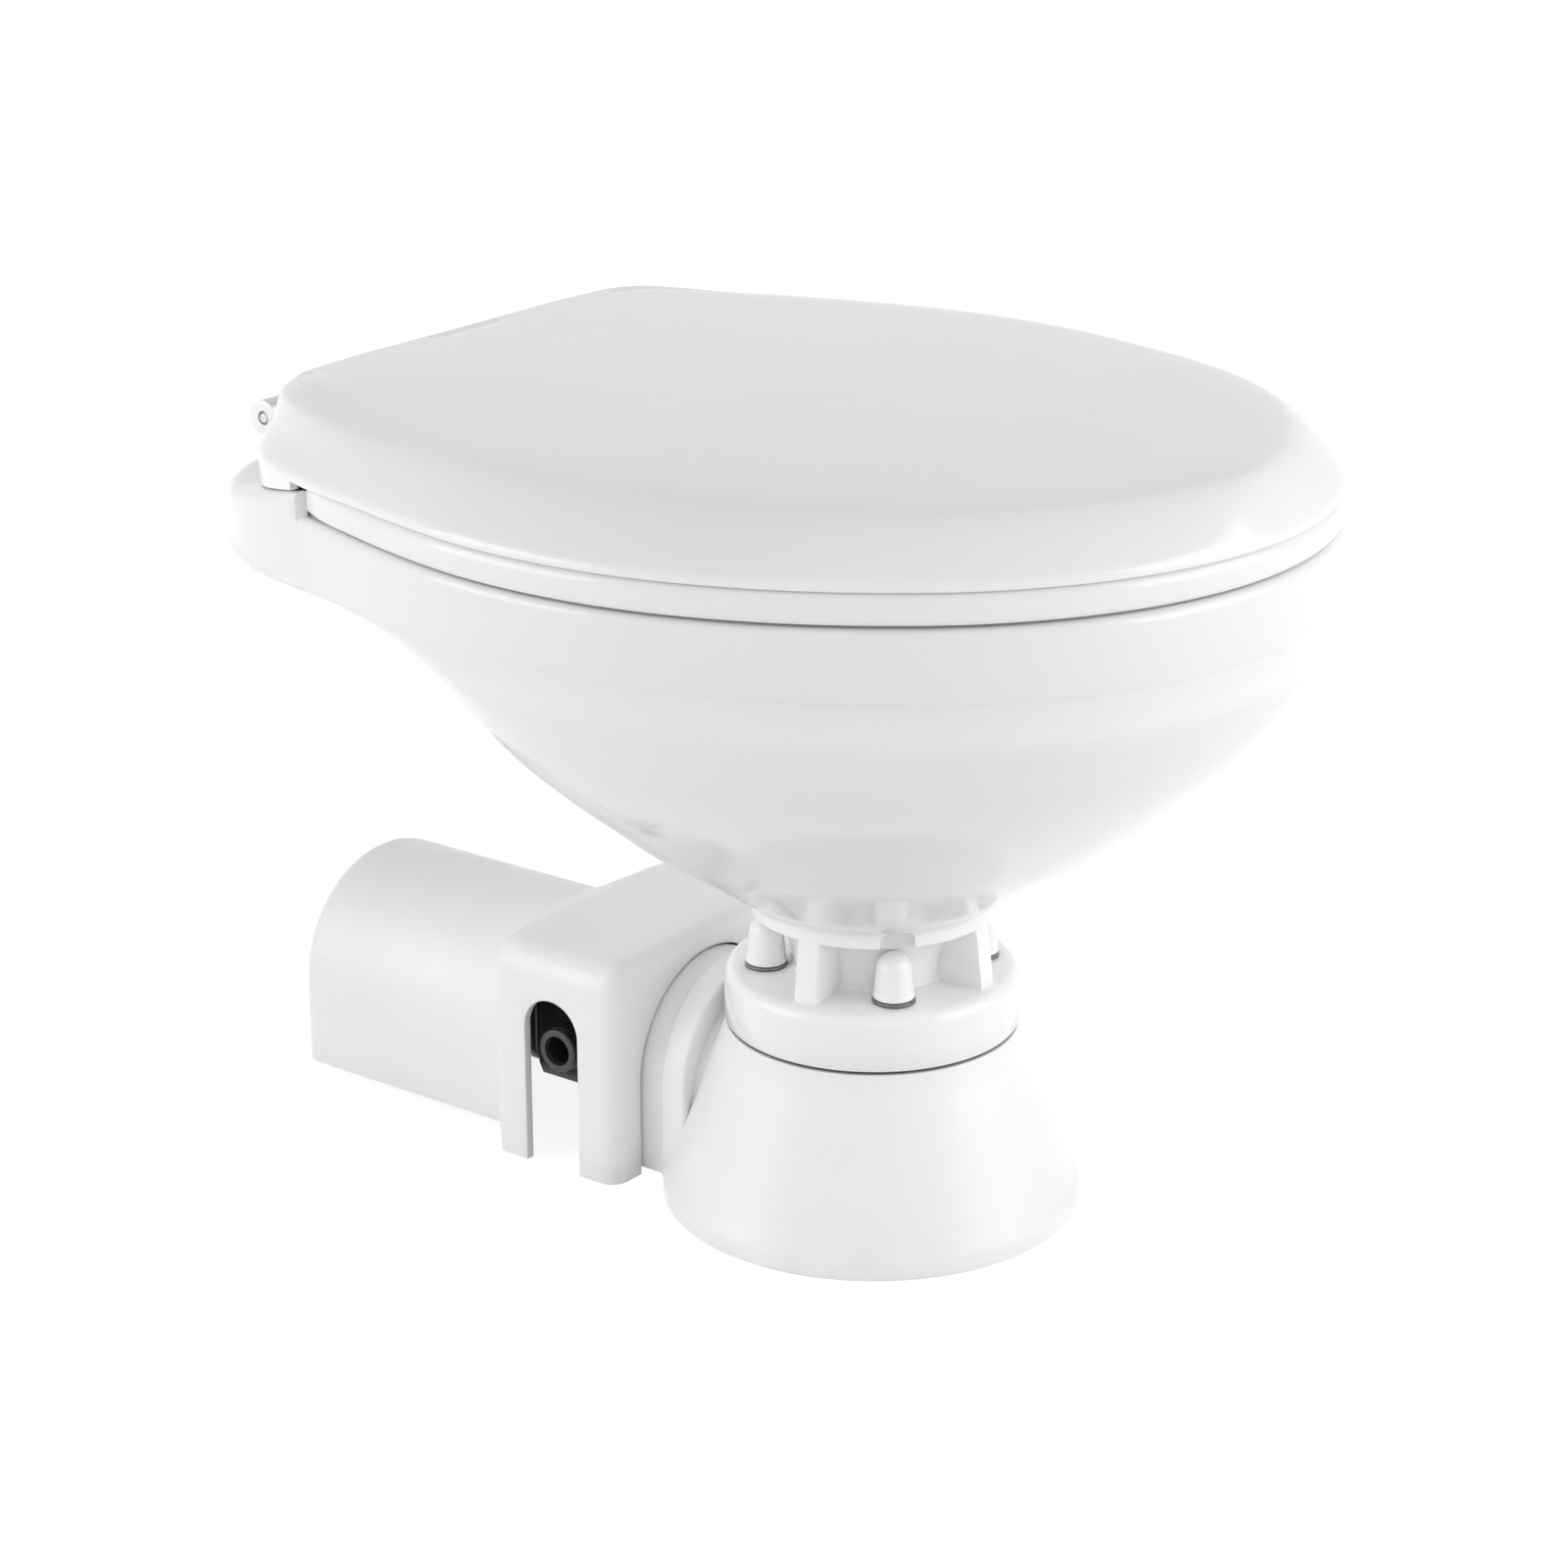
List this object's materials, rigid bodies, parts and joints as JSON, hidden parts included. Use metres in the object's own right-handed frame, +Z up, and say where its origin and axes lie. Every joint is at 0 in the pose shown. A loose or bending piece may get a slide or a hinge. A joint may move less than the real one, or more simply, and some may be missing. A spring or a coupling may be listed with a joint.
{
  "type": "electric marine toilet",
  "caption": "Electric marine toilet: china bowl on a round moulded base, with seat and domed lid, and a covered macerator pump and motor behind the base.",
  "frame": {"origin": "on the floor, under the middle of the object's bounding box", "axes": "+Z up; -Y towards the front of the bowl and +Y towards the motor; the discharge port leaves on the -X side"},
  "size_m": [0.3766, 0.4554, 0.3374],
  "materials": {
    "china": "gloss",
    "seat_white": "gloss",
    "moulding_white": "satin",
    "cap_white": "satin",
    "rubber_black": "matte",
    "rubber_grey": "matte",
    "stainless": "brushed",
    "blade_steel": "brushed",
    "pump_black": "matte",
    "port_grey": "matte",
    "seal_carbon": "matte",
    "motor_black": "satin"
  },
  "bodies": {
    "pedestal": {"base": "moulding_white", "bowl_gasket": "rubber_black", "bowl": "china", "bolt_fl": "stainless", "bolt_fr": "stainless", "bolt_rl": "stainless", "bolt_rr": "stainless", "washer_fl": "stainless", "washer_fr": "stainless", "washer_rl": "stainless", "washer_rr": "stainless", "cap_fl": "cap_white", "cap_fr": "cap_white", "cap_rl": "cap_white", "cap_rr": "cap_white", "hinge_post_l": "moulding_white", "hinge_post_r": "moulding_white", "hinge_pin_l": "stainless", "hinge_pin_r": "stainless", "hinge_washer_l": "stainless", "hinge_washer_r": "stainless", "hinge_bolt_l": "stainless", "hinge_bolt_r": "stainless", "flange_gasket": "rubber_black", "macerator_housing": "pump_black", "pump_body": "pump_black", "shaft_seal": "seal_carbon", "wear_plate": "stainless", "port_ring": "port_grey", "motor_plate": "motor_black", "motor_can": "motor_black", "motor_end": "port_grey", "motor_foot": "rubber_grey", "foot_screw_l": "stainless", "foot_screw_r": "stainless", "housing_screw_1": "stainless", "housing_screw_2": "stainless", "housing_screw_3": "stainless", "housing_screw_4": "stainless", "cover": "moulding_white"},
    "seat_ring": {"seat": "seat_white", "seat_bumper_fl": "rubber_grey", "seat_bumper_fr": "rubber_grey", "seat_bumper_rl": "rubber_grey", "seat_bumper_rr": "rubber_grey"},
    "lid_shell": {"lid": "seat_white"},
    "rotor": {"motor_shaft": "stainless", "chopper": "blade_steel", "impeller": "pump_black"}
  },
  "joints": [
    {"name": "seat_hinge", "type": "hinge", "parent": "pedestal", "child": "seat_ring", "pos_m": [0, 0.18724, 0.314], "axis": [-1, 0, 0], "range_deg": [0, 90]},
    {"name": "lid_hinge", "type": "hinge", "parent": "seat_ring", "child": "lid_shell", "pos_m": [0, 0.18724, 0.314], "axis": [-1, 0, 0], "range_deg": [0, 90]},
    {"name": "shaft_spin", "type": "hinge", "parent": "pedestal", "child": "rotor", "pos_m": [0, 0.051, 0.052], "axis": [0, 1, 0], "continuous": true}
  ]
}
